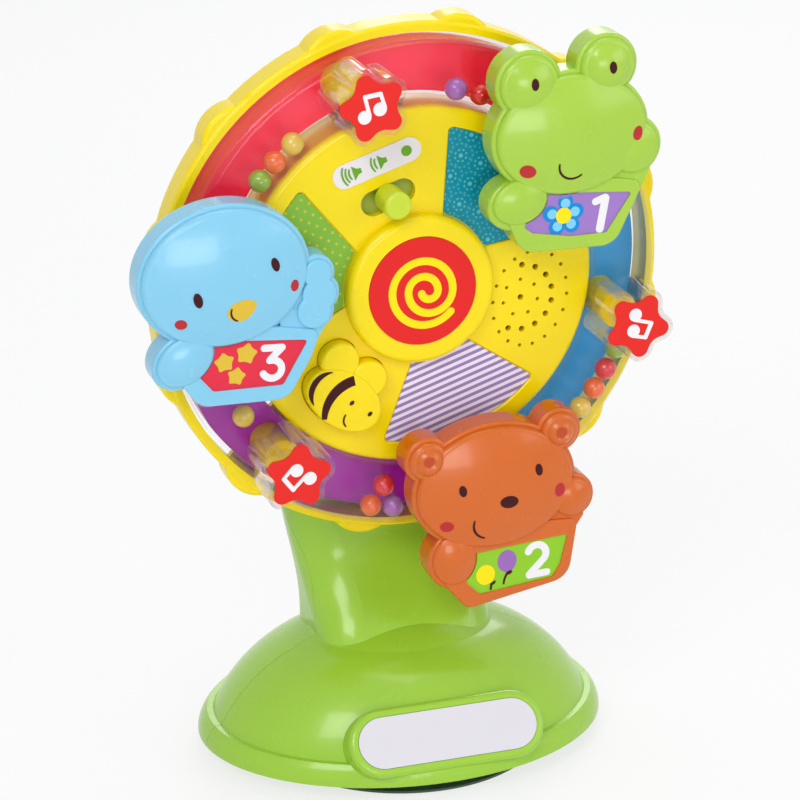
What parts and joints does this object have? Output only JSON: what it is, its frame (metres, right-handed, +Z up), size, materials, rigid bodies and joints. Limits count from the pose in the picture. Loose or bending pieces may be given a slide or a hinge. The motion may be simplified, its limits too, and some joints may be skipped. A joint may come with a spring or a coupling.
{
  "type": "animal sound spinner toy",
  "caption": "Tabletop spinner toy with a suction cup stand, a free-turning wheel with a clear bead ring, swinging animal figures, stars, a press button and a volume slide.",
  "frame": {"origin": "on the tray under the stand, in the middle of the suction cup's underside", "axes": "+Z up; the front with the animals faces -Y; +X to the right seen from the front; the wheel turns about Y"},
  "size_m": [0.1972, 0.117, 0.2703],
  "materials": {
    "green_plastic": "moulded, glossy",
    "cup_rubber": "soft translucent suction cup",
    "white_plastic": "moulded",
    "label_grey": "blank satin plate",
    "steel": "plated",
    "acetal": "slippery bearing plastic",
    "yellow_plastic": "moulded, glossy",
    "clear_plastic": "clear moulded",
    "red_backing": "coloured sheet",
    "blue_backing": "coloured sheet",
    "purple_backing": "coloured sheet",
    "teal_print": "printed panel",
    "stripe_print": "printed panel",
    "dot_print": "printed panel",
    "red_print": "printed disc with a spiral",
    "white_print": "printed strip",
    "star_print": "printed sheet with music notes",
    "lime_plastic": "moulded",
    "bee_plastic": "moulded, printed face",
    "silicone": "key dome",
    "board_green": "circuit board",
    "dark_plastic": "moulded",
    "cell_jacket": "battery jacket, blank",
    "spring_steel": "nickel plated contacts",
    "bead_green": "moulded ball",
    "bead_orange": "moulded ball",
    "bead_yellow": "moulded ball",
    "bead_purple": "moulded ball",
    "bead_red": "moulded ball",
    "frog_plastic": "moulded, printed face",
    "bear_plastic": "moulded, printed face",
    "bird_plastic": "moulded, printed face",
    "frog_sign_print": "printed plate with a number",
    "bear_sign_print": "printed plate with a number",
    "bird_sign_print": "printed plate with a number"
  },
  "bodies": {
    "stand": {"stand_front_shell": "green_plastic", "stand_rear_shell": "green_plastic", "base_plate": "green_plastic", "suction_cup": "cup_rubber", "cup_clamp": "white_plastic", "base_screws": "steel", "stand_screws": "steel", "label_plate": "label_grey", "front_bush": "acetal", "rear_bush": "acetal", "thrust_washer": "acetal"},
    "wheel": {"wheel_rear_shell": "yellow_plastic", "wheel_face": "yellow_plastic", "tube_cover": "clear_plastic", "tube_rear": "clear_plastic", "tube_backing_red": "red_backing", "tube_backing_blue": "blue_backing", "tube_backing_purple": "purple_backing", "teal_panel": "teal_print", "stripe_panel": "stripe_print", "dot_panel": "dot_print", "swirl_disc": "red_print", "switch_label": "white_print", "axle": "steel", "axle_clip": "spring_steel", "star_body_top": "clear_plastic", "star_body_right": "clear_plastic", "star_body_left": "clear_plastic", "star_stickers": "star_print", "star_screws": "steel", "animal_pins": "acetal", "bee_dome": "silicone", "circuit_board": "board_green", "spin_switch": "steel", "speaker_driver": "dark_plastic", "batteries": "cell_jacket", "battery_tray": "white_plastic", "battery_contacts": "spring_steel", "battery_cover": "yellow_plastic", "battery_cover_screw": "steel", "wheel_screws": "steel", "green_beads": "bead_green", "orange_beads": "bead_orange", "yellow_beads": "bead_yellow", "purple_beads": "bead_purple", "red_beads": "bead_red"},
    "volume_slider": {"volume_knob": "lime_plastic", "slider_carrier": "lime_plastic"},
    "bee": {"bee_button": "bee_plastic"},
    "frog": {"frog_rear_shell": "frog_plastic", "frog_front_shell": "frog_plastic", "frog_sign": "frog_sign_print"},
    "bear": {"bear_rear_shell": "bear_plastic", "bear_front_shell": "bear_plastic", "bear_sign": "bear_sign_print"},
    "bird": {"bird_rear_shell": "bird_plastic", "bird_front_shell": "bird_plastic", "bird_sign": "bird_sign_print"}
  },
  "joints": [
    {"name": "wheel_spin", "type": "hinge", "parent": "stand", "child": "wheel", "pos_m": [0, 0, 0.1775], "axis": [0, -1, 0], "continuous": true},
    {"name": "frog_swing", "type": "hinge", "parent": "wheel", "child": "frog", "pos_m": [0.05019, 0, 0.23324], "axis": [0, -1, 0], "continuous": true},
    {"name": "bear_swing", "type": "hinge", "parent": "wheel", "child": "bear", "pos_m": [0.02318, 0, 0.10617], "axis": [0, -1, 0], "continuous": true},
    {"name": "bird_swing", "type": "hinge", "parent": "wheel", "child": "bird", "pos_m": [-0.07336, 0, 0.19309], "axis": [0, -1, 0], "continuous": true},
    {"name": "volume_slide", "type": "slide", "parent": "wheel", "child": "volume_slider", "axis": [0.9511, 0, 0.309], "range_m": [-0.0055, 0.0055]},
    {"name": "bee_press", "type": "slide", "parent": "wheel", "child": "bee", "axis": [0, 1, 0], "range_m": [0, 0.0015], "stiffness_N_per_m": 600}
  ]
}
